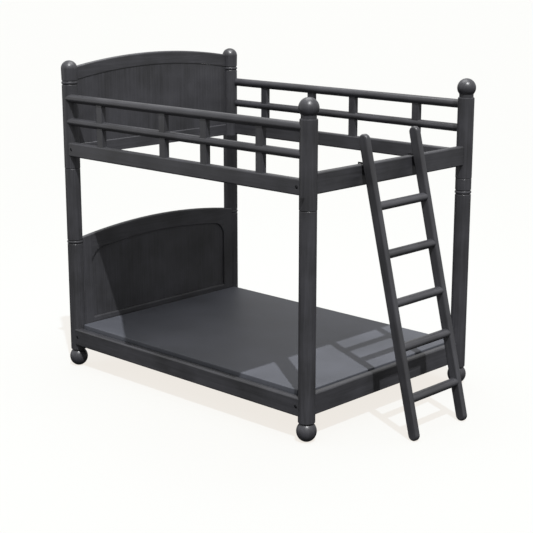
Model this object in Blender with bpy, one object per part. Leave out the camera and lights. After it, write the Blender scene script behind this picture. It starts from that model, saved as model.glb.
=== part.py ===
# Bunk bed: two stacked bunks on turned posts, with arched headboards, guards on the upper
# bunk and a leaning ladder at its foot.
# The frame: +Z up from the floor, +X from the head to the foot, -Y the near side.
# The origin is the centre of the object's footprint, on the floor. All sizes are metres.
import math

import bmesh
import bpy
from mathutils import Vector

# Overall sizes
BED_LENGTH = 1.980  # between head and foot post axes
BED_WIDTH = 1.386  # between near and far post axes
TOUCH = 0.0003  # gap between pieces that touch
ROUND_STEPS = 24

# Posts, their feet and finials
LOWER_POST_RADIUS = 0.0478
UPPER_POST_RADIUS = 0.0488
POST_FOOT_Z = 0.108
SPLIT_Z = 1.283
GROOVE_DEPTH = 0.004
GROOVE_HALF = 0.0045
BEAD_HALF = 0.006
LOWER_BEAD_Z = 0.815
FAR_FOOT_BEAD_Z = 1.200
DOME_BEAD_Z = 1.8145
HEAD_DOME_SWELL = 0.0017  # how far a head post's dome stands proud of the post below it
HEAD_STRAIGHT_Z = 1.901
HEAD_TOP_Z = 1.9497
FOOT_POST_TOP_Z = 1.7654
FOOT_POST_CHAMFER = 0.007
BALL_FOOT_RADIUS = 0.0567
BALL_FOOT_CENTRE_Z = 0.058
BALL_FOOT_HALF_HEIGHT = 0.060
BALL_FOOT_NECK_RADIUS = 0.039
FINIAL_RADIUS = 0.0554
FINIAL_CENTRE_Z = 1.8201
FINIAL_NECK_RADIUS = 0.042
PIN_RADIUS = 0.007
PIN_DEPTH = 0.050  # into each post

# Rails
RAIL_THICKNESS = 0.042
SIDE_RAIL_OUT = 0.043  # from the post axes to a side rail's outer face
LOWER_RAIL_BOTTOM = 0.142
LOWER_SIDE_TOP = 0.250
LOWER_END_TOP = 0.267
UPPER_SIDE_BOTTOM = 1.362
UPPER_SIDE_TOP = 1.450
UPPER_END_BOTTOM = 1.364
UPPER_END_TOP = 1.480
UPPER_END_OFFSET = 0.004  # the upper end rail stands this far towards the ladder
RAIL_ROUNDING = 0.008
BOLT_RADIUS = 0.011
BOLT_DEPTH = 0.006
BOLT_WALL = 0.0025  # between a bolt's recess and the post it stands beside

# Deck of the lower bunk
DECK_TOP = 0.272
DECK_THICKNESS = 0.045
DECK_SIDE_GAP = 0.012
DECK_END_GAP = 0.0115
DECK_POST_CLEARANCE = 0.003
DECK_NOTCH_LENGTH = 0.048
CLEAT_WIDTH = 0.030
CLEAT_HEIGHT = 0.040
ROUNDING = 0.003  # on small square edges

# Headboards
ARCH_RADIUS = 3.9
BOARD_THICKNESS = 0.028
LOWER_BOARD_FACE = 0.039  # from the head post axes to the face towards the bed
LOWER_ARCH_TOP = 0.8985
STILE_EDGE = 0.105  # from a post's axis to its stile's inner edge
LOWER_TOP_RAIL_DEPTH = 0.110
LOWER_PANEL_BOTTOM = 0.308
PANEL_CORNER_RADIUS = 0.100
LOWER_PANEL_SET_BACK = 0.011
UPPER_BOARD_FACE = 0.006
UPPER_ARCH_TOP = 1.9645
UPPER_TOP_RAIL_DEPTH = 0.078
UPPER_BOARD_BOTTOM = 1.357
UPPER_PANEL_BOTTOM = 1.433
UPPER_PANEL_SET_BACK = 0.004
PANEL_THICKNESS = 0.012
ARCH_STEPS = 16

# Guards of the upper bunk
GUARD_OUT = 0.022  # from the post axes to a guard's plane
TOP_GUARD_Z = 1.7203
TOP_GUARD_RADIUS = 0.026
MID_GUARD_Z = 1.5768
MID_GUARD_RADIUS = 0.024
GUARD_STEPS = 16
BALUSTER_WIDTH = 0.052
BALUSTER_THICKNESS = 0.034
BALUSTER_TENON = 0.012  # how far a baluster's ends go into the rails
NEAR_BALUSTERS = (0.163, 0.447, 0.619, 0.837)  # shares of the way from head to foot posts
FAR_BALUSTERS = (0.161, 0.374, 0.553, 0.808)

# Ladder
LADDER_GAP = 0.0117  # between the upper end rail's top edge and the ladder rails
LADDER_SLOPE = 0.2433  # how far the rails lean in, per metre of height
LADDER_TOP_Z = 1.648
LADDER_RAIL_DEPTH = 0.062
LADDER_RAIL_WIDTH = 0.038
LADDER_NEAR_Y = 0.4108  # from the near post axes to the near rail's centre line
LADDER_FAR_Y = 0.8518
RUNG_HEIGHTS = (0.223, 0.500, 0.737, 1.001, 1.259)
RUNG_DEPTH = 0.059
RUNG_HEIGHT = 0.048
RUNG_HOUSING = 0.010
RUNG_STEPS = 16
HOOK_THICKNESS = 0.004
HOOK_STRAP = 0.008
HOOK_LIP = 0.035
HOOK_DROP = 0.060

# Places that follow from the sizes
LEAN = math.atan(LADDER_SLOPE)
LADDER_END = LADDER_RAIL_DEPTH / 2
HEAD_DOME_RADIUS = UPPER_POST_RADIUS + HEAD_DOME_SWELL
END_RAIL_FACE = UPPER_END_OFFSET + RAIL_THICKNESS / 2  # from the foot post axes
LADDER_FOOT_OUT = (
    END_RAIL_FACE + LADDER_GAP + LADDER_END / math.cos(LEAN) + LADDER_SLOPE * UPPER_END_TOP
)  # from the foot post axes to a rail's centre line, at the floor
LADDER_REACH = LADDER_FOOT_OUT - LADDER_SLOPE * LADDER_END + LADDER_END
OVERALL_LENGTH = BALL_FOOT_RADIUS + BED_LENGTH + LADDER_REACH
HEAD_X = BALL_FOOT_RADIUS - OVERALL_LENGTH / 2
FOOT_X = HEAD_X + BED_LENGTH
NEAR_Y = -BED_WIDTH / 2
FAR_Y = BED_WIDTH / 2
POSTS = {
    "head_near": (HEAD_X, NEAR_Y),
    "head_far": (HEAD_X, FAR_Y),
    "foot_near": (FOOT_X, NEAR_Y),
    "foot_far": (FOOT_X, FAR_Y),
}
SIDES = {"near": (NEAR_Y, -1), "far": (FAR_Y, 1)}  # post axes' Y, and the way out
LONG = {"X": Vector((1, 0, 0)), "Y": Vector((0, 1, 0)), "Z": Vector((0, 0, 1))}


def clear_scene():
    for old in list(bpy.data.objects):
        bpy.data.objects.remove(old)


def make_material(name, colour, roughness, metallic=0.0):
    material = bpy.data.materials.new(name)
    material.use_nodes = True
    shader = material.node_tree.nodes["Principled BSDF"]
    shader.inputs["Base Color"].default_value = (*colour, 1.0)
    shader.inputs["Roughness"].default_value = roughness
    shader.inputs["Metallic"].default_value = metallic
    return material


def make_empty(name, location):
    empty = bpy.data.objects.new(name, None)
    empty.location = location
    bpy.context.scene.collection.objects.link(empty)
    return empty


def add_object(name, shape, location, parent=None, material=None):
    """Turns a bmesh made around the origin into an object that stands at a world location."""
    bmesh.ops.recalc_face_normals(shape, faces=shape.faces)
    mesh = bpy.data.meshes.new(name)
    shape.to_mesh(mesh)
    shape.free()
    made = bpy.data.objects.new(name, mesh)
    made.location = Vector(location)
    if material:
        mesh.materials.append(material)
    if parent:
        made.parent = parent
        made.location -= parent.location
    bpy.context.scene.collection.objects.link(made)
    return made


def shade_round(made):
    made.data.shade_smooth()
    made.data.set_sharp_from_angle(angle=math.radians(35))
    return made


def turned(profile, steps=ROUND_STEPS):
    """A solid of revolution about Z; the profile runs from axis to axis as (radius, height)."""
    shape = bmesh.new()
    points = [shape.verts.new((radius, 0, height)) for radius, height in profile]
    edges = [shape.edges.new(pair) for pair in zip(points, points[1:])]
    bmesh.ops.spin(
        shape,
        geom=points + edges,
        cent=(0, 0, 0),
        axis=(0, 0, 1),
        angle=math.tau,
        steps=steps,
    )
    bmesh.ops.remove_doubles(shape, verts=shape.verts, dist=1e-6)
    return shape


def box_shape(size, long_axis=None, rounding=0.0):
    """A box around the origin, with the edges along one axis rounded, or all of them."""
    shape = bmesh.new()
    bmesh.ops.create_cube(shape, size=1)
    bmesh.ops.scale(shape, vec=size, verts=shape.verts)
    if rounding:
        edges = list(shape.edges)
        if long_axis:
            edges = [edge for edge in edges if runs_along(edge, LONG[long_axis])]
        bmesh.ops.bevel(shape, geom=edges, offset=rounding, segments=2, profile=0.5, affect="EDGES")
    return shape


def runs_along(edge, direction):
    start, end = edge.verts
    return abs((end.co - start.co).normalized().dot(direction)) > 0.999


def span_box(name, low, high, parent, material, long_axis=None, rounding=0.0):
    size = [top - bottom for bottom, top in zip(low, high)]
    centre = [(top + bottom) / 2 for bottom, top in zip(low, high)]
    return add_object(name, box_shape(size, long_axis, rounding), centre, parent, material)


def plate(outline, thickness):
    """A flat outline, extruded by its thickness vector and centred on its own plane."""
    shape = bmesh.new()
    half = thickness / 2
    face = shape.faces.new([shape.verts.new(point - half) for point in outline])
    extruded = bmesh.ops.extrude_face_region(shape, geom=[face])
    moved = [item for item in extruded["geom"] if isinstance(item, bmesh.types.BMVert)]
    bmesh.ops.translate(shape, vec=thickness, verts=moved)
    return shape


def cut(made, cutter):
    cutter.hide_render = True
    cutter.display_type = "WIRE"
    boolean = made.modifiers.new("Cut by " + cutter.name, "BOOLEAN")
    boolean.operation = "DIFFERENCE"
    boolean.solver = "EXACT"
    boolean.object = cutter


def add_cutter(name, low, high):
    return span_box(name, low, high, None, None)


def post_cutter(name, where, radius, dome_radius):
    """A tall cylinder that copes a rail's end to a round post and its wider dome."""
    height = HEAD_TOP_Z * 1.1
    profile = [(0, 0), (radius, 0), (radius, DOME_BEAD_Z), (dome_radius, DOME_BEAD_Z)]
    profile += [(dome_radius, height), (0, height)]
    return add_object(name, turned(profile), (*where, -TOUCH))


def bead(radius, height):
    """A ring between two grooves, as profile points from bottom to top."""
    points = []
    for side in (-1, 1):
        centre = height + side * (BEAD_HALF + GROOVE_HALF)
        groove = [
            (radius, centre - GROOVE_HALF),
            (radius - GROOVE_DEPTH, centre),
            (radius, centre + GROOVE_HALF),
        ]
        points += groove
    return points


def ball_arc(radius, half_height, centre, start, stop, steps):
    """Profile points on a ball, from one latitude to another, in degrees."""
    points = []
    for step in range(steps + 1):
        latitude = math.radians(start + (stop - start) * step / steps)
        points.append((radius * math.cos(latitude), centre + half_height * math.sin(latitude)))
    return points


def pin_bore(bottom, top):
    return [(PIN_RADIUS + TOUCH, bottom), (PIN_RADIUS + TOUCH, top)]


def make_lower_post(name, where, parent, material):
    top = SPLIT_Z - TOUCH / 2
    profile = [(0, POST_FOOT_Z), (LOWER_POST_RADIUS - ROUNDING, POST_FOOT_Z)]
    profile.append((LOWER_POST_RADIUS, POST_FOOT_Z + ROUNDING))
    if name.startswith("head"):
        profile += bead(LOWER_POST_RADIUS, LOWER_BEAD_Z)
    if name == "foot_far":
        profile += bead(LOWER_POST_RADIUS, FAR_FOOT_BEAD_Z)
    profile += [(LOWER_POST_RADIUS, top - ROUNDING), (LOWER_POST_RADIUS - ROUNDING, top)]
    bore_end = SPLIT_Z - PIN_DEPTH - TOUCH
    profile += reversed(pin_bore(bore_end, top))
    profile.append((0, bore_end))
    made = add_object("post_lower_" + name, turned(profile), (*where, 0), parent, material)
    return shade_round(made)


def make_upper_post(name, where, parent, material):
    bottom = SPLIT_Z + TOUCH / 2
    bore_end = SPLIT_Z + PIN_DEPTH + TOUCH
    profile = [(0, bore_end)]
    profile += reversed(pin_bore(bottom, bore_end))
    profile += [(UPPER_POST_RADIUS - ROUNDING, bottom), (UPPER_POST_RADIUS, bottom + ROUNDING)]
    if name.startswith("head"):
        profile += bead(UPPER_POST_RADIUS, DOME_BEAD_Z)
        dome_height = HEAD_TOP_Z - HEAD_STRAIGHT_Z
        profile += ball_arc(HEAD_DOME_RADIUS, dome_height, HEAD_STRAIGHT_Z, 0, 90, 6)
        profile[-1] = (0, HEAD_TOP_Z)
    else:
        profile.append((UPPER_POST_RADIUS, FOOT_POST_TOP_Z - FOOT_POST_CHAMFER))
        profile.append((UPPER_POST_RADIUS - FOOT_POST_CHAMFER, FOOT_POST_TOP_Z))
        profile.append((0, FOOT_POST_TOP_Z))
    made = add_object("post_upper_" + name, turned(profile), (*where, 0), parent, material)
    return shade_round(made)


def make_ball_foot(name, where, parent, material):
    """A turned ball whose underside is cut flat at the floor and whose neck meets the post."""
    floor_latitude = math.degrees(math.asin(-BALL_FOOT_CENTRE_Z / BALL_FOOT_HALF_HEIGHT))
    neck_latitude = math.degrees(math.acos(BALL_FOOT_NECK_RADIUS / BALL_FOOT_RADIUS))
    arc = ball_arc(
        BALL_FOOT_RADIUS, BALL_FOOT_HALF_HEIGHT, BALL_FOOT_CENTRE_Z, floor_latitude, 0, 6
    )
    arc += ball_arc(
        BALL_FOOT_RADIUS, BALL_FOOT_HALF_HEIGHT, BALL_FOOT_CENTRE_Z, 0, neck_latitude, 4
    )[1:]
    top = POST_FOOT_Z - TOUCH
    profile = [(0, 0)] + arc + [(BALL_FOOT_NECK_RADIUS, top), (0, top)]
    made = add_object("ball_foot_" + name, turned(profile), (*where, 0), parent, material)
    return shade_round(made)


def make_finial(name, where, parent, material):
    neck_latitude = -math.degrees(math.acos(FINIAL_NECK_RADIUS / FINIAL_RADIUS))
    bottom = FOOT_POST_TOP_Z + TOUCH
    profile = [(0, bottom), (FINIAL_NECK_RADIUS, bottom)]
    profile += ball_arc(FINIAL_RADIUS, FINIAL_RADIUS, FINIAL_CENTRE_Z, neck_latitude, 90, 10)
    profile[-1] = (0, FINIAL_CENTRE_Z + FINIAL_RADIUS)
    made = add_object("finial_" + name, turned(profile), (*where, 0), parent, material)
    return shade_round(made)


def make_pin(name, where, parent, material):
    low = -PIN_DEPTH
    profile = [(0, low), (PIN_RADIUS, low), (PIN_RADIUS, -low), (0, -low)]
    made = add_object("join_pin_" + name, turned(profile), (*where, SPLIT_Z), parent, material)
    return shade_round(made)


def cope(made, cutters, names):
    for name in names:
        cut(made, cutters[name])


def make_side_rail(prefix, side, bottom, top, cutters, radius, parent, material):
    """A side rail, coped to its posts, with a counterbore for a bolt near each end."""
    axis_y, out = SIDES[side]
    outer = axis_y + out * SIDE_RAIL_OUT
    inner = outer - out * RAIL_THICKNESS
    low = (HEAD_X, min(outer, inner), bottom)
    high = (FOOT_X, max(outer, inner), top)
    name = f"{prefix}_side_rail_{side}"
    rail = span_box(name, low, high, parent, material, "X", RAIL_ROUNDING)
    cope(rail, cutters, (f"head_{side}", f"foot_{side}"))
    deep = BOLT_DEPTH
    bore = [(0, -deep), (BOLT_RADIUS, -deep), (BOLT_RADIUS, deep), (0, deep)]
    for end, bolt_x in bolt_places(radius).items():
        place = (bolt_x, outer, (bottom + top) / 2)
        cutter = add_object(f"{name}_bolt_{end}", turned(bore, GUARD_STEPS), place)
        cutter.rotation_euler.x = math.pi / 2
        cut(rail, cutter)
    return rail


def bolt_places(post_radius):
    """Bolts as near the posts as the wood round their recesses allows."""
    recess_y = SIDE_RAIL_OUT - BOLT_DEPTH
    post_edge = math.sqrt(max(post_radius**2 - recess_y**2, 0))
    inset = post_edge + BOLT_WALL + BOLT_RADIUS
    return {"head": HEAD_X + inset, "foot": FOOT_X - inset}


def make_end_rail(name, centre_x, bottom, top, cutters, parent, material):
    low = (centre_x - RAIL_THICKNESS / 2, NEAR_Y, bottom)
    high = (centre_x + RAIL_THICKNESS / 2, FAR_Y, top)
    rail = span_box(name, low, high, parent, material, "Y", RAIL_ROUNDING)
    cope(rail, cutters, ("foot_near", "foot_far"))
    return rail


def make_deck(cutters, parent, material):
    """The lower bunk's deck: coped round the head posts and notched square at the foot posts."""
    rail_inner = BED_WIDTH / 2 + SIDE_RAIL_OUT - RAIL_THICKNESS
    half_width = rail_inner - DECK_SIDE_GAP
    head_end = HEAD_X + LOWER_BOARD_FACE + DECK_POST_CLEARANCE
    foot_end = FOOT_X - RAIL_THICKNESS / 2 - DECK_END_GAP
    low = (head_end, -half_width, DECK_TOP - DECK_THICKNESS)
    high = (foot_end, half_width, DECK_TOP)
    deck = span_box("deck_lower", low, high, parent, material, None, ROUNDING)
    reach = LOWER_POST_RADIUS + DECK_POST_CLEARANCE
    for side, (axis_y, out) in SIDES.items():
        cut(deck, cutters["deck_head_" + side])
        edges_y = (axis_y - out * reach, axis_y + out * reach)
        notch = add_cutter(
            "deck_notch_" + side,
            (foot_end - DECK_NOTCH_LENGTH, min(edges_y), 0),
            (FOOT_X, max(edges_y), SPLIT_Z / 2),
        )
        cut(deck, notch)
    return deck


def make_cleats(parent, material):
    """Strips on the side rails' inner faces that carry the deck."""
    top = DECK_TOP - DECK_THICKNESS - TOUCH
    start = HEAD_X + LOWER_POST_RADIUS + DECK_POST_CLEARANCE
    stop = FOOT_X - LOWER_POST_RADIUS - DECK_POST_CLEARANCE
    for side, (axis_y, out) in SIDES.items():
        outer = axis_y + out * (SIDE_RAIL_OUT - RAIL_THICKNESS - TOUCH)
        inner = outer - out * CLEAT_WIDTH
        low = (start, min(outer, inner), top - CLEAT_HEIGHT)
        high = (stop, max(outer, inner), top)
        span_box("deck_cleat_" + side, low, high, parent, material)


def arch_height(across, crown, drop=0.0):
    """Height of an arch whose crown is at Y = 0, or of a line a constant drop below it."""
    radius = ARCH_RADIUS - drop
    return crown - ARCH_RADIUS + math.sqrt(radius * radius - across * across)


def arch_points(start, stop, crown, drop=0.0):
    points = []
    for step in range(ARCH_STEPS + 1):
        across = start + (stop - start) * step / ARCH_STEPS
        points.append((across, arch_height(across, crown, drop)))
    return points


def corner_arc(centre, radius, start, stop, steps=5):
    points = []
    for step in range(steps + 1):
        angle = math.radians(start + (stop - start) * step / steps)
        points.append((centre[0] + radius * math.cos(angle), centre[1] + radius * math.sin(angle)))
    return points


def panel_line(half_width, grow=0.0):
    """The lower panel's top edge, from +Y to -Y: an arch with a rounded corner at each end."""
    radius = PANEL_CORNER_RADIUS + grow
    edge = half_width + grow
    centre = edge - radius
    rise = arch_height(centre, LOWER_ARCH_TOP, LOWER_TOP_RAIL_DEPTH - grow) - radius
    right = corner_arc((centre, rise), radius, 0, 90)
    left = corner_arc((-centre, rise), radius, 90, 180)
    middle = arch_points(centre, -centre, LOWER_ARCH_TOP, LOWER_TOP_RAIL_DEPTH - grow)
    return right[:-1] + middle + left[1:]


def board_plate(name, outline, face, thickness, parent, material):
    """A headboard piece: an outline of (Y, Z), whose face towards the bed is at a given X."""
    points = [Vector((0, across, height)) for across, height in outline]
    shape = plate(points, Vector((thickness, 0, 0)))
    return add_object(name, shape, (face - thickness / 2, 0, 0), parent, material)


def make_lower_headboard(cutters, parent, material):
    face = HEAD_X + LOWER_BOARD_FACE
    half = BED_WIDTH / 2
    opening = half - STILE_EDGE
    for side, (axis_y, out) in SIDES.items():
        top = arch_points(out * half, out * (opening + TOUCH), LOWER_ARCH_TOP)
        bottom = [(out * (opening + TOUCH), LOWER_RAIL_BOTTOM), (axis_y, LOWER_RAIL_BOTTOM)]
        stile = board_plate(
            "headboard_lower_stile_" + side, top + bottom, face, BOARD_THICKNESS, parent, material
        )
        cope(stile, cutters, ("head_" + side,))
    top = arch_points(-opening, opening, LOWER_ARCH_TOP)
    board_plate(
        "headboard_lower_top_rail",
        top + panel_line(opening),
        face,
        BOARD_THICKNESS,
        parent,
        material,
    )
    span_box(
        "headboard_lower_bottom_rail",
        (face - BOARD_THICKNESS, -opening, LOWER_RAIL_BOTTOM),
        (face, opening, LOWER_PANEL_BOTTOM),
        parent,
        material,
    )
    foot = [(-opening + TOUCH, LOWER_PANEL_BOTTOM + TOUCH), (opening - TOUCH, LOWER_PANEL_BOTTOM + TOUCH)]
    board_plate(
        "headboard_lower_panel",
        foot + panel_line(opening, -TOUCH),
        face - LOWER_PANEL_SET_BACK,
        PANEL_THICKNESS,
        parent,
        material,
    )


def make_upper_headboard(cutters, parent, material):
    face = HEAD_X + UPPER_BOARD_FACE
    half = BED_WIDTH / 2
    drop = UPPER_TOP_RAIL_DEPTH
    top = arch_points(-half, half, UPPER_ARCH_TOP)
    under = arch_points(half, -half, UPPER_ARCH_TOP, drop)
    rail = board_plate(
        "headboard_upper_top_rail", top + under, face, BOARD_THICKNESS, parent, material
    )
    panel_top = arch_points(half, -half, UPPER_ARCH_TOP, drop + TOUCH)
    panel_foot = [(-half, UPPER_PANEL_BOTTOM + TOUCH), (half, UPPER_PANEL_BOTTOM + TOUCH)]
    panel = board_plate(
        "headboard_upper_panel",
        panel_foot + panel_top,
        face - UPPER_PANEL_SET_BACK,
        BOARD_THICKNESS - 2 * UPPER_PANEL_SET_BACK,
        parent,
        material,
    )
    bottom_rail = span_box(
        "headboard_upper_bottom_rail",
        (face - BOARD_THICKNESS, -half, UPPER_BOARD_BOTTOM),
        (face, half, UPPER_PANEL_BOTTOM),
        parent,
        material,
    )
    for made in (rail, panel, bottom_rail):
        cope(made, cutters, ("head_near", "head_far"))


def make_guard_rail(name, side, height, radius, cutters, parent, material):
    axis_y, out = SIDES[side]
    profile = [(0, 0), (radius, 0), (radius, BED_LENGTH), (0, BED_LENGTH)]
    place = (HEAD_X, axis_y + out * GUARD_OUT, height)
    rail = add_object(name, turned(profile, GUARD_STEPS), place, parent, material)
    rail.rotation_euler.y = math.pi / 2
    cope(rail, cutters, (f"head_{side}", f"foot_{side}"))
    return shade_round(rail)


def make_guard(side, shares, cutters, side_rail, parent, material):
    """A top rail, a mid rail and the balusters that run through it, let in above and below."""
    axis_y, out = SIDES[side]
    plane = axis_y + out * GUARD_OUT
    top_name = f"guard_{side}_top_rail"
    mid_name = f"guard_{side}_mid_rail"
    top_rail = make_guard_rail(
        top_name, side, TOP_GUARD_Z, TOP_GUARD_RADIUS, cutters, parent, material
    )
    mid_rail = make_guard_rail(
        mid_name, side, MID_GUARD_Z, MID_GUARD_RADIUS, cutters, parent, material
    )
    bottom = UPPER_SIDE_TOP - BALUSTER_TENON
    top = TOP_GUARD_Z - TOP_GUARD_RADIUS + BALUSTER_TENON
    half_width = BALUSTER_WIDTH / 2
    half_depth = BALUSTER_THICKNESS / 2
    for number, share in enumerate(shares, start=1):
        centre = HEAD_X + share * BED_LENGTH
        low = (centre - half_width, plane - half_depth, bottom)
        high = (centre + half_width, plane + half_depth, top)
        span_box(f"guard_{side}_baluster_{number}", low, high, parent, material)
        cutter = add_cutter(
            f"guard_{side}_mortise_{number}",
            [value - TOUCH for value in low],
            [value + TOUCH for value in high],
        )
        for cut_piece in (top_rail, mid_rail, side_rail):
            cut(cut_piece, cutter)


def ladder_x(height):
    """X of the ladder rails' centre line at a height."""
    return FOOT_X + LADDER_FOOT_OUT - LADDER_SLOPE * height


def ladder_outline():
    """A leaning bar with round ends; its lowest point is on the floor."""
    points = []
    top_z = LADDER_TOP_Z - LADDER_END
    lean = math.degrees(LEAN)
    foot = (ladder_x(LADDER_END), LADDER_END)
    head = (ladder_x(top_z), top_z)
    points += corner_arc(foot, LADDER_END, lean - 180, -90, 4)
    points += corner_arc(foot, LADDER_END, -90, 0, 5)[1:]
    points += corner_arc(foot, LADDER_END, 0, lean, 1)[1:]
    points += corner_arc(head, LADDER_END, lean, lean + 180, 10)
    return points


def rung_shape(length, grow=0.0):
    """An oval bar along Y around the origin."""
    shape = turned([(0, -length / 2), (1, -length / 2), (1, length / 2), (0, length / 2)], RUNG_STEPS)
    for vertex in shape.verts:
        across, up, along = vertex.co
        vertex.co = (across * (RUNG_DEPTH / 2 + grow), along, up * (RUNG_HEIGHT / 2 + grow))
    return shape


def make_ladder(parent, wood, steel):
    near = NEAR_Y + LADDER_NEAR_Y
    far = NEAR_Y + LADDER_FAR_Y
    half_width = LADDER_RAIL_WIDTH / 2
    outline = [Vector((x, 0, z)) for x, z in ladder_outline()]
    rails = []
    for side, centre_y in (("near", near), ("far", far)):
        shape = plate(outline, Vector((0, LADDER_RAIL_WIDTH, 0)))
        rails.append(add_object("ladder_rail_" + side, shape, (0, centre_y, 0), parent, wood))
        make_hook(side, centre_y + half_width + TOUCH, parent, steel)
    clear_width = far - near - LADDER_RAIL_WIDTH
    length = clear_width + 2 * RUNG_HOUSING
    middle = (near + far) / 2
    for number, height in enumerate(RUNG_HEIGHTS, start=1):
        place = (ladder_x(height), middle, height)
        rung = add_object(f"ladder_rung_{number}", rung_shape(length), place, parent, wood)
        shade_round(rung)
        housing = add_object(
            f"ladder_housing_{number}", rung_shape(length + 2 * TOUCH, TOUCH), place
        )
        for rail in rails:
            cut(rail, housing)


def make_hook(side, face_y, parent, steel):
    """A steel plate on a ladder rail's far face, which hooks over the upper end rail."""
    rail_x = FOOT_X + UPPER_END_OFFSET
    inner = rail_x - RAIL_THICKNESS / 2 - TOUCH
    outer = rail_x + RAIL_THICKNESS / 2 + TOUCH
    seat = UPPER_END_TOP + TOUCH
    outline = [
        (inner - HOOK_STRAP, UPPER_END_TOP - HOOK_LIP),
        (inner, UPPER_END_TOP - HOOK_LIP),
        (inner, seat),
        (outer, seat),
        (outer, UPPER_END_TOP - HOOK_DROP),
        (ladder_x(UPPER_END_TOP - HOOK_DROP), UPPER_END_TOP - HOOK_DROP),
        (ladder_x(seat + HOOK_STRAP), seat + HOOK_STRAP),
        (inner - HOOK_STRAP, seat + HOOK_STRAP),
    ]
    shape = plate([Vector((x, 0, z)) for x, z in outline], Vector((0, HOOK_THICKNESS, 0)))
    place = (0, face_y + HOOK_THICKNESS / 2, 0)
    add_object("ladder_hook_" + side, shape, place, parent, steel)


def build():
    clear_scene()
    paint = make_material("charcoal painted wood", (0.045, 0.045, 0.048), 0.45)
    deck_paint = make_material("slate grey deck", (0.07, 0.073, 0.08), 0.5)
    steel = make_material("blackened steel", (0.05, 0.05, 0.05), 0.4, 1.0)
    lower = make_empty("lower_bunk", (0, 0, 0))
    upper = make_empty("upper_bunk", (0, 0, SPLIT_Z))
    ladder = make_empty("ladder", (ladder_x(0), 0, 0))
    lower_cutters = {}
    upper_cutters = {}
    for name, where in POSTS.items():
        make_ball_foot(name, where, lower, paint)
        make_lower_post(name, where, lower, paint)
        make_pin(name, where, lower, steel)
        make_upper_post(name, where, upper, paint)
        if name.startswith("foot"):
            make_finial(name, where, upper, paint)
        else:
            key = "deck_" + name
            reach = LOWER_POST_RADIUS + DECK_POST_CLEARANCE
            lower_cutters[key] = post_cutter(key + "_cope", where, reach, reach)
        reach = LOWER_POST_RADIUS + TOUCH
        lower_cutters[name] = post_cutter("lower_cope_" + name, where, reach, reach)
        upper_cutters[name] = post_cutter(
            "upper_cope_" + name, where, UPPER_POST_RADIUS + TOUCH, HEAD_DOME_RADIUS + TOUCH
        )
    upper_side_rails = {}
    for side in SIDES:
        make_side_rail(
            "lower",
            side,
            LOWER_RAIL_BOTTOM,
            LOWER_SIDE_TOP,
            lower_cutters,
            LOWER_POST_RADIUS,
            lower,
            paint,
        )
        upper_side_rails[side] = make_side_rail(
            "upper",
            side,
            UPPER_SIDE_BOTTOM,
            UPPER_SIDE_TOP,
            upper_cutters,
            UPPER_POST_RADIUS,
            upper,
            paint,
        )
    make_end_rail(
        "lower_end_rail", FOOT_X, LOWER_RAIL_BOTTOM, LOWER_END_TOP, lower_cutters, lower, paint
    )
    make_end_rail(
        "upper_end_rail",
        FOOT_X + UPPER_END_OFFSET,
        UPPER_END_BOTTOM,
        UPPER_END_TOP,
        upper_cutters,
        upper,
        paint,
    )
    make_deck(lower_cutters, lower, deck_paint)
    make_cleats(lower, paint)
    make_lower_headboard(lower_cutters, lower, paint)
    make_upper_headboard(upper_cutters, upper, paint)
    for side, shares in (("near", NEAR_BALUSTERS), ("far", FAR_BALUSTERS)):
        make_guard(side, shares, upper_cutters, upper_side_rails[side], upper, paint)
    make_ladder(ladder, paint, steel)


build()
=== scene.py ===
import math

import bmesh
import bpy
from mathutils import Matrix, Vector


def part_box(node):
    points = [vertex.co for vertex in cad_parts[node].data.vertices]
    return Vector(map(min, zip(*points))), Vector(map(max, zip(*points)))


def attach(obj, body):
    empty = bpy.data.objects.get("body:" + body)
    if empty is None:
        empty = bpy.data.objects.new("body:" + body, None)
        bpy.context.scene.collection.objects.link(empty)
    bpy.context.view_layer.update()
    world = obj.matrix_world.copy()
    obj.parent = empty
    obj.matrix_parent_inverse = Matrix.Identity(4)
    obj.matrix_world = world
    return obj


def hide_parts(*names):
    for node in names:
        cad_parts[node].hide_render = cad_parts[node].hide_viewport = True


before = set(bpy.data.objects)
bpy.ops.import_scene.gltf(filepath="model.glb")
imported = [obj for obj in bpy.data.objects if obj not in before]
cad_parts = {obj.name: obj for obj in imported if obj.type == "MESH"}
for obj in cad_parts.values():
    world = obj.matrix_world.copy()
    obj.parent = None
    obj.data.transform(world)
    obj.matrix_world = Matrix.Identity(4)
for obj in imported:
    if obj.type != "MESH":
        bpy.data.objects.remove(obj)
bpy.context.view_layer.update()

scene = bpy.context.scene
corners = ("head_near", "head_far", "foot_near", "foot_far")
sides = {"near": -1, "far": 1}  # the way out from the bed's middle along Y
balusters = (1, 2, 3, 4)
rungs = (1, 2, 3, 4, 5)
tiny = 1e-6  # metres; points this near are one point
close = 1e-5  # slack for finding an edge again by its place
sharpAngle = math.radians(32)
underFloor = -0.1  # where tall cutters start
overTop = 2.2  # and where they end
pieces = []


def toLinear(hexColour):
    channels = [int(hexColour[start:start + 2], 16) / 255 for start in (1, 3, 5)]
    linear = [
        value / 12.92 if value <= 0.04045 else ((value + 0.055) / 1.055) ** 2.4 for value in channels
    ]
    return (*linear, 1.0)


def addNode(material, kind, values=None, links=None, **settings):
    # values fill sockets; links feed them from (node, output) pairs
    node = material.node_tree.nodes.new(kind)
    for name, value in settings.items():
        setattr(node, name, value)
    for socket, value in (values or {}).items():
        node.inputs[socket].default_value = value
    for socket, (source, output) in (links or {}).items():
        material.node_tree.links.new(source.outputs[output], node.inputs[socket])
    return node


def boxOf(node):
    low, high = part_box(node)
    return Vector(low), Vector(high)


def centreOf(node):
    low, high = boxOf(node)
    return (low + high) / 2


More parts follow.
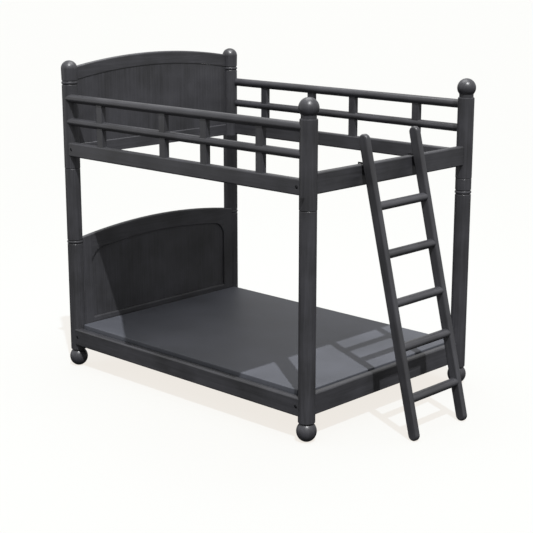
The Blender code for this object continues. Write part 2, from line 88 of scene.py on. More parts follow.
def arcPoints(centre, radius, start, stop, steps):
    # points on an arc, angles in degrees
    points = []
    for step in range(steps + 1):
        angle = math.radians(start + (stop - start) * step / steps)
        points.append((centre[0] + radius * math.cos(angle), centre[1] + radius * math.sin(angle)))
    return points


def shadeSmooth(mesh):
    mesh.shade_smooth()
    mesh.set_sharp_from_angle(angle=sharpAngle)


def addPiece(name, shape, material, body, node=None):
    # a finished bmesh becomes a piece at the origin that rides on a body
    bmesh.ops.remove_doubles(shape, verts=shape.verts, dist=tiny)
    bmesh.ops.recalc_face_normals(shape, faces=shape.faces)
    mesh = bpy.data.meshes.new(name)
    shape.to_mesh(mesh)
    shape.free()
    shadeSmooth(mesh)
    mesh.materials.append(material)
    piece = bpy.data.objects.new(name, mesh)
    scene.collection.objects.link(piece)
    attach(piece, body)
    if node:
        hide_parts(node)
    pieces.append(piece)
    return piece


def carve(piece, cutterShapes):
    # cuts the shapes from the piece for good; the cutters are removed again
    cutters = []
    for shape in cutterShapes:
        bmesh.ops.recalc_face_normals(shape, faces=shape.faces)
        mesh = bpy.data.meshes.new("cutter")
        shape.to_mesh(mesh)
        shape.free()
        cutter = bpy.data.objects.new("cutter", mesh)
        scene.collection.objects.link(cutter)
        cutters.append(cutter)
        modifier = piece.modifiers.new("carve", "BOOLEAN")
        modifier.operation = "DIFFERENCE"
        modifier.solver = "EXACT"
        modifier.object = cutter
    bpy.context.view_layer.update()
    graph = bpy.context.evaluated_depsgraph_get()
    carved = bpy.data.meshes.new_from_object(piece.evaluated_get(graph))
    piece.modifiers.clear()
    old = piece.data
    piece.data = carved
    carved.name = old.name
    bpy.data.meshes.remove(old)
    for cutter in cutters:
        bpy.data.meshes.remove(cutter.data)
    shadeSmooth(carved)


def turned(profile, steps, place=(0, 0, 0)):
    # a closed turning about a vertical axis; the profile is (radius, height), axis to axis
    shape = bmesh.new()
    points = [shape.verts.new((radius, 0, height)) for radius, height in profile]
    edges = [shape.edges.new(pair) for pair in zip(points, points[1:])]
    bmesh.ops.spin(
        shape, geom=points + edges, cent=(0, 0, 0), axis=(0, 0, 1),
        angle=math.tau, steps=steps, use_merge=True,
    )
    bmesh.ops.remove_doubles(shape, verts=shape.verts, dist=tiny)
    bmesh.ops.translate(shape, vec=place, verts=shape.verts)
    return shape


def tip(shape, angle, axis):
    # turns a shape about the origin
    bmesh.ops.rotate(shape, cent=(0, 0, 0), matrix=Matrix.Rotation(angle, 3, axis), verts=shape.verts)


def block(low, high):
    shape = bmesh.new()
    bmesh.ops.create_cube(shape, size=1)
    bmesh.ops.scale(shape, vec=high - low, verts=shape.verts)
    bmesh.ops.translate(shape, vec=(low + high) / 2, verts=shape.verts)
    return shape


def roundEdges(shape, wanted, radius, segments):
    edges = [edge for edge in shape.edges if wanted(edge)]
    bmesh.ops.bevel(
        shape, geom=edges, offset=radius, segments=segments, profile=0.5, affect="EDGES", material=-1
    )


def runsAlong(edge, axis):
    start, end = (vertex.co for vertex in edge.verts)
    return abs((end - start).normalized()[axis]) > 0.999  # within three degrees


def reaches(edge, axis, limit):
    # whether both ends of an edge lie at or past a face
    return all(vertex.co[axis] > limit - tiny for vertex in edge.verts)


def plate(outline, thickness):
    # a flat outline pushed out by a thickness vector, centred on its own plane
    shape = bmesh.new()
    face = shape.faces.new([shape.verts.new(Vector(point) - thickness / 2) for point in outline])
    pushed = bmesh.ops.extrude_face_region(shape, geom=[face])["geom"]
    moved = [item for item in pushed if isinstance(item, bmesh.types.BMVert)]
    bmesh.ops.translate(shape, vec=thickness, verts=moved)
    bmesh.ops.recalc_face_normals(shape, faces=shape.faces)
    return shape


paintLook = {
    "dark": "#2c2c2e",
    "light": "#3d3d41",
    "grainWidth": 0.010,  # metres across the wood; real pores are finer, drawn wide enough to show
    "grainLength": 0.45,
    "poreWidth": 0.0028,
    "poreLength": 0.09,
    "cloudSize": 0.22,  # slow change of tone over a board
    "roughness": (0.30, 0.42),
    "toneSteps": (0.40, 0.60),  # where the mixed noise turns from dark to light
    "grainRelief": 0.0006,
}


def paintedWood(name, axis, lean=0.0):
    # charcoal satin lacquer sprayed on wood: soft gloss, with the grain just telegraphing through
    material = bpy.data.materials.new(name)
    material.use_nodes = True
    shader = material.node_tree.nodes["Principled BSDF"]
    links = material.node_tree.links
    place = addNode(material, "ShaderNodeTexCoord")
    layers = []
    for width, length in (("grainWidth", "grainLength"), ("poreWidth", "poreLength")):
        size = [paintLook[width]] * 3
        size[axis] = paintLook[length]
        along = addNode(
            material, "ShaderNodeMapping", {"Rotation": (0, lean, 0), "Scale": size},
            {"Vector": (place, "Object")}, vector_type="TEXTURE",
        )
        layers.append(addNode(
            material, "ShaderNodeTexNoise",
            {"Scale": 1.0, "Detail": 4.0, "Roughness": 0.6, "Distortion": 0.3},
            {"Vector": (along, "Vector")},
        ))
    grain = addNode(
        material, "ShaderNodeMix", {"Factor": 0.4},
        {"A": (layers[0], "Fac"), "B": (layers[1], "Fac")}, data_type="FLOAT",
    )
    cloud = addNode(
        material, "ShaderNodeTexNoise", {"Scale": 1 / paintLook["cloudSize"], "Detail": 3.0},
        {"Vector": (place, "Object")},
    )
    tone = addNode(
        material, "ShaderNodeMix", {"Factor": 0.45},
        {"A": (grain, "Result"), "B": (cloud, "Fac")}, data_type="FLOAT",
    )
    colour = addNode(material, "ShaderNodeValToRGB", None, {"Fac": (tone, "Result")})
    colour.color_ramp.elements[0].position = paintLook["toneSteps"][0]
    colour.color_ramp.elements[0].color = toLinear(paintLook["dark"])
    colour.color_ramp.elements[1].position = paintLook["toneSteps"][1]
    colour.color_ramp.elements[1].color = toLinear(paintLook["light"])
    least, most = paintLook["roughness"]
    gloss = addNode(
        material, "ShaderNodeMapRange",
        {"From Min": 0.35, "From Max": 0.65, "To Min": least, "To Max": most},
        {"Value": (grain, "Result")},
    )
    relief = addNode(
        material, "ShaderNodeBump", {"Strength": 0.5, "Distance": paintLook["grainRelief"]},
        {"Height": (layers[0], "Fac")},
    )
    links.new(colour.outputs["Color"], shader.inputs["Base Color"])
    links.new(gloss.outputs["Result"], shader.inputs["Roughness"])
    links.new(relief.outputs["Normal"], shader.inputs["Normal"])
    return material


deckLook = {
    "dark": "#45474d",
    "light": "#4f5158",
    "toneSteps": (0.35, 0.68),
    "roughness": (0.48, 0.58),
    "stippleSize": 0.004,  # orange peel of a rolled paint, drawn coarse enough to show
    "stippleRelief": 0.0002,
}


def rolledPaint():
    # slate blue-grey paint rolled on a smooth board: even, low sheen, with a faint stipple
    material = bpy.data.materials.new("slateRolledPaint")
    material.use_nodes = True
    shader = material.node_tree.nodes["Principled BSDF"]
    links = material.node_tree.links
    place = addNode(material, "ShaderNodeTexCoord")
    cloud = addNode(
        material, "ShaderNodeTexNoise", {"Scale": 3.0, "Detail": 4.0, "Roughness": 0.5},
        {"Vector": (place, "Object")},
    )
    stipple = addNode(
        material, "ShaderNodeTexNoise", {"Scale": 1 / deckLook["stippleSize"], "Detail": 2.0},
        {"Vector": (place, "Object")},
    )
    colour = addNode(material, "ShaderNodeValToRGB", None, {"Fac": (cloud, "Fac")})
    colour.color_ramp.elements[0].position = deckLook["toneSteps"][0]
    colour.color_ramp.elements[0].color = toLinear(deckLook["dark"])
    colour.color_ramp.elements[1].position = deckLook["toneSteps"][1]
    colour.color_ramp.elements[1].color = toLinear(deckLook["light"])
    least, most = deckLook["roughness"]
    gloss = addNode(
        material, "ShaderNodeMapRange", {"To Min": least, "To Max": most}, {"Value": (cloud, "Fac")}
    )
    relief = addNode(
        material, "ShaderNodeBump", {"Strength": 0.4, "Distance": deckLook["stippleRelief"]},
        {"Height": (stipple, "Fac")},
    )
    links.new(colour.outputs["Color"], shader.inputs["Base Color"])
    links.new(gloss.outputs["Result"], shader.inputs["Roughness"])
    links.new(relief.outputs["Normal"], shader.inputs["Normal"])
    return material


steelLook = {"dark": "#2b2b2d", "light": "#525256", "roughness": (0.30, 0.48), "mottleSize": 0.01 / 1.8}


def blackenedSteel():
    # oil-blackened mild steel: dark, half dull, slightly mottled
    material = bpy.data.materials.new("blackenedSteel")
    material.use_nodes = True
    shader = material.node_tree.nodes["Principled BSDF"]
    shader.inputs["Metallic"].default_value = 1.0
    place = addNode(material, "ShaderNodeTexCoord")
    mottle = addNode(
        material, "ShaderNodeTexNoise", {"Scale": 1 / steelLook["mottleSize"], "Detail": 3.0},
        {"Vector": (place, "Object")},
    )
    colour = addNode(material, "ShaderNodeValToRGB", None, {"Fac": (mottle, "Fac")})
    colour.color_ramp.elements[0].color = toLinear(steelLook["dark"])
    colour.color_ramp.elements[1].color = toLinear(steelLook["light"])
    least, most = steelLook["roughness"]
    gloss = addNode(
        material, "ShaderNodeMapRange", {"To Min": least, "To Max": most}, {"Value": (mottle, "Fac")}
    )
    material.node_tree.links.new(colour.outputs["Color"], shader.inputs["Base Color"])
    material.node_tree.links.new(gloss.outputs["Result"], shader.inputs["Roughness"])
    return material


paintX = paintedWood("charcoalLacquerAlongX", 0)
paintY = paintedWood("charcoalLacquerAlongY", 1)
paintZ = paintedWood("charcoalLacquerAlongZ", 2)
deckPaint = rolledPaint()
steel = blackenedSteel()
print("materials made")


postShape = {
    "steps": 72,
    "lowerRadius": 0.0478,
    "upperRadius": 0.0488,
    "edge": 0.004,
    "edgeSteps": 4,
    "grooveDepth": 0.0035,
    "grooveHalf": 0.0045,
    "beadHalf": 0.006,
    "beadProud": 0.0018,
    "ringSteps": 8,
    "lowerBead": 0.815,
    "farFootBead": 1.200,
    "domeBead": 1.8145,
    "domeRadius": 0.0505,
    "domeStart": 1.901,
    "domeSteps": 12,
    "chamfer": 0.007,
    "chamferEase": 0.3,  # share of the chamfer left at its middle
    "boreRadius": 0.0073,
    "boreDepth": 0.0503,
}


def ringAround(radius, height):
    # a proud bead between two round-bottomed grooves, from bottom to top
    points = []
    half = postShape["grooveHalf"]
    steps = postShape["ringSteps"]
    for way in (-1, 1):
        centre = height + way * (postShape["beadHalf"] + half)
        for step in range(steps + 1):
            turn = math.pi * step / steps
            depth = postShape["grooveDepth"] * math.sin(turn)
            points.append((radius - depth, centre - half * math.cos(turn)))
        if way < 0:
            for step in range(1, steps):
                turn = math.pi * step / steps
                beadHeight = height - postShape["beadHalf"] * math.cos(turn)
                points.append((radius + postShape["beadProud"] * math.sin(turn), beadHeight))
    return points


def edgeRound(radius, height, way, inward):
    # a quarter round at a post's end; way is +1 at a top, inward runs towards the axis
    size = postShape["edge"]
    centre = (radius - size, height - way * size)
    points = arcPoints(centre, size, 0, 90 * way, postShape["edgeSteps"])
    return points if inward else points[::-1]


def headDome(top):
    # a half ellipse over the head posts, ending on the axis
    radius, start, steps = (postShape[key] for key in ("domeRadius", "domeStart", "domeSteps"))
    points = []
    for step in range(steps):
        turn = math.radians(90 * step / steps)
        points.append((radius * math.cos(turn), start + (top - start) * math.sin(turn)))
    return points + [(0, top)]


def makePosts():
    bore = postShape["boreRadius"]
    for corner in corners:
        node = "post_lower_" + corner
        low, high = boxOf(node)
        centre = centreOf(node)
        radius = (high.x - low.x) / 2
        place = (centre.x, centre.y, 0)
        profile = [(0, low.z)] + edgeRound(radius, low.z, -1, False)
        if corner.startswith("head"):
            profile += ringAround(radius, postShape["lowerBead"])
        if corner == "foot_far":
            profile += ringAround(radius, postShape["farFootBead"])
        profile += edgeRound(radius, high.z, 1, True)
        boreEnd = high.z - postShape["boreDepth"]
        profile += [(bore, high.z), (bore, boreEnd), (0, boreEnd)]
        shape = turned(profile, postShape["steps"], place)
        addPiece("lower_post_" + corner, shape, paintZ, "lower_bunk", node)

        node = "post_upper_" + corner
        low, high = boxOf(node)
        radius = postShape["upperRadius"]
        boreEnd = low.z + postShape["boreDepth"]
        profile = [(0, boreEnd), (bore, boreEnd), (bore, low.z)]
        profile += edgeRound(radius, low.z, -1, False)
        if corner.startswith("head"):
            profile += ringAround(radius, postShape["domeBead"]) + headDome(high.z)
        else:
            chamfer = postShape["chamfer"]
            eased = chamfer * postShape["chamferEase"]
            profile += [(radius, high.z - chamfer), (radius - eased, high.z - eased)]
            profile += [(radius - chamfer, high.z), (0, high.z)]
        shape = turned(profile, postShape["steps"], place)
        addPiece("upper_post_" + corner, shape, paintZ, "upper_bunk", node)


ballShape = {
    "footCentre": 0.058,
    "footHalf": 0.060,
    "footNeck": 0.039,
    "finialCentre": 1.8201,
    "finialNeck": 0.042,
    "steps": 24,
}


def ballProfile(radius, half, centre, start, stop):
    points = []
    for step in range(ballShape["steps"] + 1):
        turn = math.radians(start + (stop - start) * step / ballShape["steps"])
        points.append((radius * math.cos(turn), centre + half * math.sin(turn)))
    return points


def makeBalls():
    for corner in corners:
        node = "ball_foot_" + corner
        low, high = boxOf(node)
        centre = centreOf(node)
        radius = (high.x - low.x) / 2
        floorTurn = -math.degrees(math.asin(ballShape["footCentre"] / ballShape["footHalf"]))
        neckTurn = math.degrees(math.acos(ballShape["footNeck"] / radius))
        profile = [(0, 0)]
        profile += ballProfile(radius, ballShape["footHalf"], ballShape["footCentre"], floorTurn, neckTurn)
        profile += [(ballShape["footNeck"], high.z), (0, high.z)]
        shape = turned(profile, postShape["steps"], (centre.x, centre.y, 0))
        addPiece("ball_foot_turned_" + corner, shape, paintZ, "lower_bunk", node)
    for side in sides:
        node = "finial_foot_" + side
        low, high = boxOf(node)
        centre = centreOf(node)
        radius = (high.x - low.x) / 2
        neckTurn = -math.degrees(math.acos(ballShape["finialNeck"] / radius))
        profile = [(0, low.z), (ballShape["finialNeck"], low.z)]
        profile += ballProfile(radius, radius, ballShape["finialCentre"], neckTurn, 90)
        profile[-1] = (0, high.z)
        shape = turned(profile, postShape["steps"], (centre.x, centre.y, 0))
        addPiece("finial_turned_" + side, shape, paintZ, "upper_bunk", node)


makePosts()
makeBalls()
print("posts, feet and finials made")


railShape = {
    "edge": 0.010,
    "edgeSegments": 5,
    "touch": 0.0003,  # the gap left wherever a piece is fitted to another
    "endInset": 0.047,  # the end rails start this far inside the posts' outer faces
}
boltShape = {
    "recessRadius": 0.011,
    "recessDepth": 0.006,
    "wall": 0.0025,  # wood left between a recess and the post
    "headRadius": 0.0092,
    "headGap": 0.0002,  # under the head
    "headCurve": ((0, -0.0026), (0.0006, -0.0018), (0.0022, -0.0012)),  # in from the rim, height
    "headCrown": -0.0010,
    "socketRadius": 0.0038,
    "socketFloor": -0.0042,
    "socketTop": 0.002,
    "steps": 32,
}


def postCutters(bunk, ends):
    # tall cylinders that cope a piece to the round posts; the upper ones widen at the dome
    shapes = []
    bead = postShape["domeBead"]
    for corner in ends:
        centre = centreOf(f"post_{bunk}_{corner}")
        radius = postShape[bunk + "Radius"] + railShape["touch"]
        dome = radius
        if bunk == "upper":
            dome = postShape["domeRadius"] + railShape["touch"]
        profile = [(0, underFloor), (radius, underFloor), (radius, bead)]
        profile += [(dome, bead), (dome, overTop), (0, overTop)]
        shapes.append(turned(profile, postShape["steps"], (centre.x, centre.y, 0)))
    return shapes


def addCoped(name, shape, material, bunk, node, ends, extra=()):
    # a painted piece coped to the posts at its ends, with any other cuts it needs
    piece = addPiece(name, shape, material, bunk + "_bunk", node)
    carve(piece, postCutters(bunk, ends) + list(extra))


def boltPlaces(bunk, side):
    low, high = boxOf(f"{bunk}_side_rail_{side}")
    face = low.y if side == "near" else high.y
    height = (low.z + high.z) / 2
    places = {}
    for end, way in (("head", 1), ("foot", -1)):
        centre = centreOf(f"post_{bunk}_{end}_{side}")
        recess = abs(face - centre.y) - boltShape["recessDepth"]
        postEdge = math.sqrt(postShape[bunk + "Radius"] ** 2 - recess ** 2)
        inset = postEdge + boltShape["wall"] + boltShape["recessRadius"]
        places[end] = Vector((centre.x + way * inset, face, height))
    return places


def lyingTurning(profile, steps, place, out):
    # a turning whose axis points out along Y
    shape = turned(profile, steps)
    tip(shape, -out * math.pi / 2, "X")
    bmesh.ops.translate(shape, vec=place, verts=shape.verts)
    return shape


def mortises(side):
    # the holes that take a guard's balusters
    gap = Vector((railShape["touch"],) * 3)
    boxes = [boxOf(f"guard_{side}_baluster_{number}") for number in balusters]
    return [block(low - gap, high + gap) for low, high in boxes]


def makeSideRails():
    deep = boltShape["recessDepth"]
    wide = boltShape["recessRadius"]
    hole = [(0, -deep), (wide, -deep), (wide, deep), (0, deep)]
    for bunk in ("lower", "upper"):
        for side, out in sides.items():
            node = f"{bunk}_side_rail_{side}"
            shape = block(*boxOf(node))
            roundEdges(shape, lambda edge: runsAlong(edge, 0), railShape["edge"], railShape["edgeSegments"])
            places = boltPlaces(bunk, side)
            cuts = [lyingTurning(hole, boltShape["steps"], place, out) for place in places.values()]
            if bunk == "upper":
                cuts += mortises(side)
            addCoped(node + "_board", shape, paintX, bunk, node, ["head_" + side, "foot_" + side], cuts)
            for end, place in places.items():
                makeBolt(bunk, f"bolt_{bunk}_{side}_{end}", place, out)


def makeBolt(bunk, name, place, out):
    # a domed bolt head with a hexagon socket, sunk in its counterbore
    bottom = boltShape["headGap"] - boltShape["recessDepth"]
    wide = boltShape["headRadius"]
    profile = [(0, bottom), (wide, bottom)]
    profile += [(wide - inward, height) for inward, height in boltShape["headCurve"]]
    profile += [(0, boltShape["headCrown"])]
    head = lyingTurning(profile, boltShape["steps"], place, out)
    piece = addPiece(name, head, steel, bunk + "_bunk")
    socket = boltShape["socketRadius"]
    foot, top = boltShape["socketFloor"], boltShape["socketTop"]
    carve(piece, [lyingTurning([(0, foot), (socket, foot), (socket, top), (0, top)], 6, place, out)])


def makeEndRails():
    for bunk in ("lower", "upper"):
        node = bunk + "_end_rail"
        low, high = boxOf(node)
        low.y = boxOf(f"post_{bunk}_foot_near")[0].y + railShape["endInset"]
        high.y = boxOf(f"post_{bunk}_foot_far")[1].y - railShape["endInset"]
        shape = block(low, high)
        roundEdges(shape, lambda edge: runsAlong(edge, 1), railShape["edge"], railShape["edgeSegments"])
        addCoped(node + "_board", shape, paintY, bunk, node, ["foot_near", "foot_far"])


makeSideRails()
makeEndRails()
print("rails and bolts made")


deckShape = {
    "edge": 0.005,
    "edgeSegments": 3,
    "notchLength": 0.048,
    "clearance": 0.003,
    "overrun": 0.1,  # the notches' cutters run this far past the foot end
    "notchWidth": 0.2,
}


def makeDeck():
    # the head end is cut round its posts, the foot end is notched square
    _, high = boxOf("deck_lower")
    shape = block(*boxOf("deck_lower"))
    roundEdges(shape, lambda edge: True, deckShape["edge"], deckShape["edgeSegments"])
    piece = addPiece("deck_board", shape, deckPaint, "lower_bunk", "deck_lower")
    radius = postShape["lowerRadius"] + deckShape["clearance"]
    profile = [(0, underFloor), (radius, underFloor), (radius, overTop), (0, overTop)]
    cutters = []
    for side, out in sides.items():
        centre = centreOf("post_lower_head_" + side)
        cutters.append(turned(profile, postShape["steps"], (centre.x, centre.y, 0)))
        inside = centre.y - out * radius
        start, stop = sorted((inside, inside + out * deckShape["notchWidth"]))
        notchLow = Vector((high.x - deckShape["notchLength"], start, underFloor))
        notchHigh = Vector((high.x + deckShape["overrun"], stop, overTop))
        cutters.append(block(notchLow, notchHigh))
    carve(piece, cutters)


makeDeck()
for side in sides:
    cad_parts["deck_cleat_" + side].material_slots[0].material = paintX
for corner in corners:
    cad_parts["join_pin_" + corner].material_slots[0].material = steel
print("deck made")


boardShape = {
    "archRadius": 3.9,
    "archSteps": 40,
    "topRound": 0.010,
    "topSegments": 4,
    "openingRound": 0.0045,
    "openingSegments": 3,
    "lowerDrop": 0.110,
    "cornerRadius": 0.100,
    "cornerSteps": 12,
    "bottomChamfer": 0.011,
    "bottomSegments": 2,
    "upperDrop": 0.078,
    "upperChamfer": 0.008,
    "upperSegments": 3,
}


def archLine(start, stop, crown, drop=0.0):
    radius = boardShape["archRadius"] - drop
    points = []
    for step in range(boardShape["archSteps"] + 1):
        across = start + (stop - start) * step / boardShape["archSteps"]
        points.append((across, crown - boardShape["archRadius"] + math.sqrt(radius ** 2 - across ** 2)))
    return points


def openingLine(half, crown, grow=0.0):
    # the recess's top edge from +Y to -Y: an arch with a round corner at each end
    radius = boardShape["cornerRadius"] + grow
    drop = boardShape["lowerDrop"] - grow
    centre = half + grow - radius
    rise = archLine(centre, 0, crown, drop)[0][1] - radius
    right = arcPoints((centre, rise), radius, 0, 90, boardShape["cornerSteps"])
    left = arcPoints((-centre, rise), radius, 90, 180, boardShape["cornerSteps"])
    return right[:-1] + archLine(centre, -centre, crown, drop) + left[1:]


def roundArch(shape, crown):
    # rounds the two long edges of an arched top
    radius = boardShape["archRadius"]

    def onArch(edge):
        ends = [math.hypot(vertex.co.y, vertex.co.z - crown + radius) for vertex in edge.verts]
        return all(abs(end - radius) < close for end in ends) and not runsAlong(edge, 0)

    roundEdges(shape, onArch, boardShape["topRound"], boardShape["topSegments"])


def boardPiece(outline, low, high):
    # an outline of (across, height), as thick as a node's box
    thickness = Vector((high.x - low.x, 0, 0))
    middle = (high.x + low.x) / 2
    return plate([(middle, across, height) for across, height in outline], thickness)


def makeLowerHeadboard():
    low, high = boxOf("headboard_lower_top_rail")
    face, half, crown = high  # half is the opening's half width
    opening = openingLine(half, crown)
    shape = boardPiece(archLine(-half, half, crown) + opening, low, high)
    roundArch(shape, crown)
    inner = [Vector((face, across, height)) for across, height in opening]

    def onOpening(edge):
        gaps = [min((vertex.co - point).length for point in inner) for vertex in edge.verts]
        return reaches(edge, 0, face) and max(gaps) < close

    roundEdges(shape, onOpening, boardShape["openingRound"], boardShape["openingSegments"])
    node = "headboard_lower_top_rail"
    addPiece("headboard_low_arched_rail", shape, paintY, "lower_bunk", node)

    for side, out in sides.items():
        node = "headboard_lower_stile_" + side
        low, high = boxOf(node)
        axis = centreOf("post_lower_head_" + side).y
        inside = out * (half + railShape["touch"])
        outline = archLine(axis, inside, crown) + [(inside, low.z), (axis, low.z)]
        shape = boardPiece(outline, low, high)
        roundArch(shape, crown)
        addCoped(node + "_board", shape, paintZ, "lower", node, ["head_" + side])

    node = "headboard_lower_bottom_rail"
    low, high = boxOf(node)
    shape = block(low, high)

    def frontTop(edge):
        return runsAlong(edge, 1) and reaches(edge, 0, face) and reaches(edge, 2, high.z)

    roundEdges(shape, frontTop, boardShape["bottomChamfer"], boardShape["bottomSegments"])
    addPiece("headboard_low_bottom_rail", shape, paintY, "lower_bunk", node)

    node = "headboard_lower_panel"
    low, high = boxOf(node)
    outline = [(low.y, low.z), (high.y, low.z)] + openingLine(half, crown, -railShape["touch"])
    shape = boardPiece(outline, low, high)
    addPiece("headboard_low_panel", shape, paintZ, "lower_bunk", node)


def makeUpperHeadboard():
    node = "headboard_upper_top_rail"
    low, high = boxOf(node)
    crown = high.z
    half = -centreOf("post_upper_head_near").y
    drop = boardShape["upperDrop"]
    ends = ["head_near", "head_far"]
    shape = boardPiece(archLine(-half, half, crown) + archLine(half, -half, crown, drop), low, high)
    roundArch(shape, crown)
    addCoped("headboard_high_arched_rail", shape, paintY, "upper", node, ends)

    node = "headboard_upper_panel"
    low, high = boxOf(node)
    under = archLine(half, -half, crown, drop + railShape["touch"])
    shape = boardPiece([(-half, low.z), (half, low.z)] + under, low, high)
    addCoped("headboard_high_panel", shape, paintZ, "upper", node, ends)

    node = "headboard_upper_bottom_rail"
    low, high = boxOf(node)
    shape = block(Vector((low.x, -half, low.z)), Vector((high.x, half, high.z)))

    def longTop(edge):
        return runsAlong(edge, 1) and reaches(edge, 2, high.z)

    roundEdges(shape, longTop, boardShape["upperChamfer"], boardShape["upperSegments"])
    addCoped("headboard_high_bottom_rail", shape, paintY, "upper", node, ends)


makeLowerHeadboard()
makeUpperHeadboard()
print("headboards made")


guardShape = {"steps": 48, "balusterEdge": 0.004, "balusterSegments": 3}


def makeGuards():
    for side in sides:
        start, stop = (centreOf(f"post_upper_{end}_{side}").x for end in ("head", "foot"))
        length = stop - start
        for part in ("top", "mid"):
            node = f"guard_{side}_{part}_rail"
            low, high = boxOf(node)
            centre = centreOf(node)
            radius = (high.z - low.z) / 2
            shape = turned([(0, 0), (radius, 0), (radius, length), (0, length)], guardShape["steps"])
            tip(shape, math.pi / 2, "Y")
            bmesh.ops.translate(shape, vec=(start, centre.y, centre.z), verts=shape.verts)
            ends = ["head_" + side, "foot_" + side]
            addCoped(node + "_round", shape, paintX, "upper", node, ends, mortises(side))
        for number in balusters:
            node = f"guard_{side}_baluster_{number}"
            shape = block(*boxOf(node))
            roundEdges(
                shape, lambda edge: runsAlong(edge, 2),
                guardShape["balusterEdge"], guardShape["balusterSegments"],
            )
            addPiece(node + "_upright", shape, paintZ, "upper_bunk", node)


makeGuards()
print("guards made")


ladderShape = {
    "slope": 0.2433,
    "endRadius": 0.031,  # of the round ends, half the rail's depth
    "endSteps": 20,
    "edge": 0.012,
    "edgeSegments": 5,
    "rungSteps": 48,
}
lean = math.atan(ladderShape["slope"])
paintLeaning = paintedWood("charcoalLacquerLeaning", 2, -lean)


def sidePlate(outline, node, edge, segments):
    # an outline of (x, height), as thick as its node, with rounded rims
    low, high = boxOf(node)
    middle = (low.y + high.y) / 2
    shape = plate([(x, middle, z) for x, z in outline], Vector((0, high.y - low.y, 0)))
    roundEdges(shape, lambda rim: abs(rim.verts[0].co.y - rim.verts[1].co.y) < tiny, edge, segments)
    return shape


def lineAt(side, height):
    # where a ladder rail's middle line stands at a height
    low, high = boxOf("ladder_rail_" + side)
    end = ladderShape["endRadius"]
    return high.x - end - ladderShape["slope"] * (height - low.z - end)


def makeLadder():
    turn = math.degrees(lean)
    end = ladderShape["endRadius"]
    for side in sides:
        node = "ladder_rail_" + side
        low, high = boxOf(node)
        outline = []
        for height, start in ((low.z + end, turn - 180), (high.z - end, turn)):
            centre = (lineAt(side, height), height)
            outline += arcPoints(centre, end, start, start + 180, ladderShape["endSteps"])
        shape = sidePlate(outline, node, ladderShape["edge"], ladderShape["edgeSegments"])
        piece = addPiece(node + "_bar", shape, paintLeaning, "ladder", node)
        carve(piece, [rungShape(number, railShape["touch"]) for number in rungs])
    for number in rungs:
        node = f"ladder_rung_{number}"
        addPiece(node + "_oval", rungShape(number, 0.0), paintY, "ladder", node)
    for side in sides:
        makeHook(side)


def rungShape(number, grow):
    node = f"ladder_rung_{number}"
    low, high = boxOf(node)
    size = (high - low) / 2 + Vector((grow, grow, grow))
    shape = turned([(0, -1), (1, -1), (1, 1), (0, 1)], ladderShape["rungSteps"])
    tip(shape, math.pi / 2, "X")
    bmesh.ops.scale(shape, vec=size, verts=shape.verts)
    bmesh.ops.translate(shape, vec=centreOf(node), verts=shape.verts)
    bmesh.ops.recalc_face_normals(shape, faces=shape.faces)
    return shape


hookShape = {
    "lip": 0.035,
    "drop": 0.060,
    "edge": 0.001,
    "edgeSegments": 2,
    "screwRadius": 0.0045,
    "screwHeights": (0.012, 0.050),  # above the hook's lower end
    "screwInset": 0.014,  # behind the ladder rail's middle line
    "screwCurve": ((0, 0.0001), (1, 0.0001), (0.9, 0.0012), (0.5, 0.0021), (0, 0.0024)),
    "screwSteps": 24,
}


def makeHook(side):
    # a flat steel hook on a ladder rail's far face, with two round-headed screws
    node = "ladder_hook_" + side
    low, high = boxOf(node)
    railLow, railHigh = boxOf("upper_end_rail")
    gap = railShape["touch"]
    inner, outer, seat = railLow.x - gap, railHigh.x + gap, railHigh.z + gap
    bottom = railHigh.z - hookShape["drop"]
    lipEnd = railHigh.z - hookShape["lip"]
    outline = [
        (low.x, lipEnd), (inner, lipEnd), (inner, seat), (outer, seat), (outer, bottom),
        (lineAt(side, bottom), bottom), (lineAt(side, high.z), high.z), (low.x, high.z),
    ]
    shape = sidePlate(outline, node, hookShape["edge"], hookShape["edgeSegments"])
    addPiece(node + "_plate", shape, steel, "ladder", node)
    profile = [(share * hookShape["screwRadius"], height) for share, height in hookShape["screwCurve"]]
    for number, rise in enumerate(hookShape["screwHeights"], start=1):
        height = bottom + rise
        place = Vector((lineAt(side, height) - hookShape["screwInset"], high.y, height))
        screw = lyingTurning(profile, hookShape["screwSteps"], place, 1)
        addPiece(f"hook_screw_{side}_{number}", screw, steel, "ladder")


makeLadder()
print("ladder made")


# broad flat faces keep flat shading beside their rounded edges
for piece in pieces:
    weighted = piece.modifiers.new("flatFaces", "WEIGHTED_NORMAL")
    weighted.keep_sharp = True
    weighted.weight = 100


studio = {
    "cameraPlace": (5.3245, -5.7373, 2.6177),
    "cameraTurn": (76.42, 0, 43.78),
    "lens": 89.01,
    "clipEnd": 1000,
    "floorSize": 400,
    "floorHeight": -0.0005,
    "floorColour": (0.070, 0.092, 0.110, 1),
    "floorGlow": (1.0, 0.95, 0.885, 1),
    "floorGlowStrength": 0.845,
    "backdrop": (0.98, 0.98, 0.955, 1),
    "skyStrength": 1.0,
    "skyPlaces": (0.38, 0.52, 0.95),  # below the horizon, at it, and overhead
    "skyGreys": (0.05, 0.50, 0.85),
    "sunWay": (-0.49, 0.33, -1.0),
    "sunStrength": 4.5,
    "sunAngle": 0.9,
    "flagHeight": 1.355,
    "flagColour": (0.02, 0.02, 0.02, 1),
    "flagOutline": (
        (-1.29, -0.73), (-0.61, -0.73), (-0.14, -1.09), (0.81, -1.09), (0.81, 0.73), (-1.29, 0.73),
    ),
    "softboxes": (  # place, what it is aimed at, size and power
        ((-0.6, 0.6, 5.2), (0, 0, 1.0), 2.6, 90),
        ((-4.6, -4.2, 1.5), (0, 0, 1.0), 2.4, 12),
    ),
}


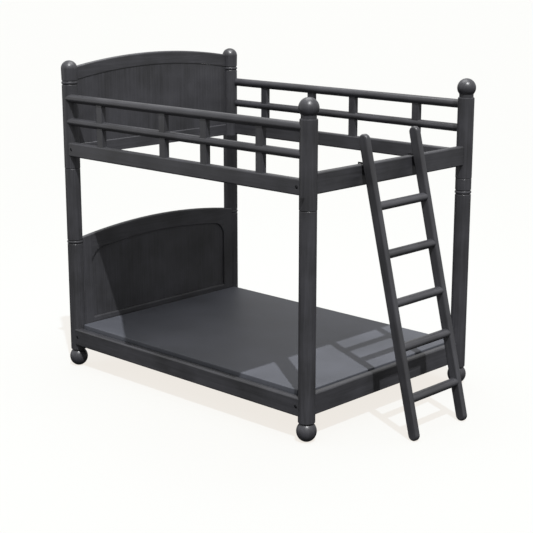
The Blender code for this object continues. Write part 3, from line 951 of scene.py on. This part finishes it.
def stageSheet(name, shape, height, materialName, colour):
    # a dull sheet of the studio's own, which lifts no light and shows in no gloss
    mesh = bpy.data.meshes.new(name)
    shape.to_mesh(mesh)
    shape.free()
    sheet = bpy.data.objects.new(name, mesh)
    sheet.location.z = height
    sheet.visible_glossy = False
    sheet.visible_diffuse = False
    scene.collection.objects.link(sheet)
    material = bpy.data.materials.new(materialName)
    material.use_nodes = True
    shader = material.node_tree.nodes["Principled BSDF"]
    shader.inputs["Base Color"].default_value = colour
    shader.inputs["Roughness"].default_value = 1.0
    mesh.materials.append(material)
    return sheet, shader


def aimed(lamp, way):
    lamp.rotation_euler = Vector(way).to_track_quat("-Z", "Y").to_euler()
    scene.collection.objects.link(lamp)


def makeCamera():
    camera = bpy.data.objects.new("camera", bpy.data.cameras.new("camera"))
    camera.location = studio["cameraPlace"]
    camera.rotation_euler = [math.radians(turn) for turn in studio["cameraTurn"]]
    camera.data.lens = studio["lens"]
    camera.data.clip_end = studio["clipEnd"]
    scene.collection.objects.link(camera)
    scene.camera = camera


def makeSheets():
    shape = bmesh.new()
    bmesh.ops.create_grid(shape, x_segments=1, y_segments=1, size=studio["floorSize"] / 2)
    _, shader = stageSheet("floor", shape, studio["floorHeight"], "paleStudioFloor", studio["floorColour"])
    shader.inputs["Specular IOR Level"].default_value = 0.0
    shader.inputs["Emission Color"].default_value = studio["floorGlow"]
    shader.inputs["Emission Strength"].default_value = studio["floorGlowStrength"]

    # a dark flag hidden from the camera keeps the key light off the lower bunk, as a mattress would
    shape = bmesh.new()
    shape.faces.new([shape.verts.new((x, y, 0)) for x, y in studio["flagOutline"]])
    flag, _ = stageSheet("flag", shape, studio["flagHeight"], "blackFlagCloth", studio["flagColour"])
    flag.visible_camera = False


def makeSky():
    # dark below, grey at the horizon and bright overhead, with a pale even backdrop
    world = bpy.data.worlds.new("studio")
    world.use_nodes = True
    background = world.node_tree.nodes["Background"]
    direction = addNode(world, "ShaderNodeTexCoord")
    height = addNode(world, "ShaderNodeSeparateXYZ", None, {"Vector": (direction, "Generated")})
    level = addNode(
        world, "ShaderNodeMapRange", {"From Min": -1.0, "From Max": 1.0}, {"Value": (height, "Z")}
    )
    sky = addNode(world, "ShaderNodeValToRGB", None, {"Fac": (level, "Result")})
    elements = sky.color_ramp.elements
    elements.new(studio["skyPlaces"][-1])
    for element, place, grey in zip(elements, studio["skyPlaces"], studio["skyGreys"]):
        element.position = place
        element.color = (grey, grey, grey, 1)
    ray = addNode(world, "ShaderNodeLightPath")
    seen = addNode(
        world, "ShaderNodeMix", {"B": studio["backdrop"]},
        {"Factor": (ray, "Is Camera Ray"), "A": (sky, "Color")}, data_type="RGBA",
    )
    world.node_tree.links.new(seen.outputs["Result"], background.inputs["Color"])
    background.inputs["Strength"].default_value = studio["skyStrength"]
    scene.world = world


def makeLamps():
    sun = bpy.data.lights.new("keyLight", "SUN")
    sun.energy = studio["sunStrength"]
    sun.angle = math.radians(studio["sunAngle"])
    aimed(bpy.data.objects.new("keyLight", sun), studio["sunWay"])
    for place, target, size, power in studio["softboxes"]:
        softbox = bpy.data.lights.new("softbox", "AREA")
        softbox.size = size
        softbox.energy = power
        lamp = bpy.data.objects.new("softbox", softbox)
        lamp.location = place
        aimed(lamp, Vector(target) - Vector(place))


makeCamera()
makeSheets()
makeSky()
makeLamps()
scene.view_settings.view_transform = "Standard"
print("studio made")
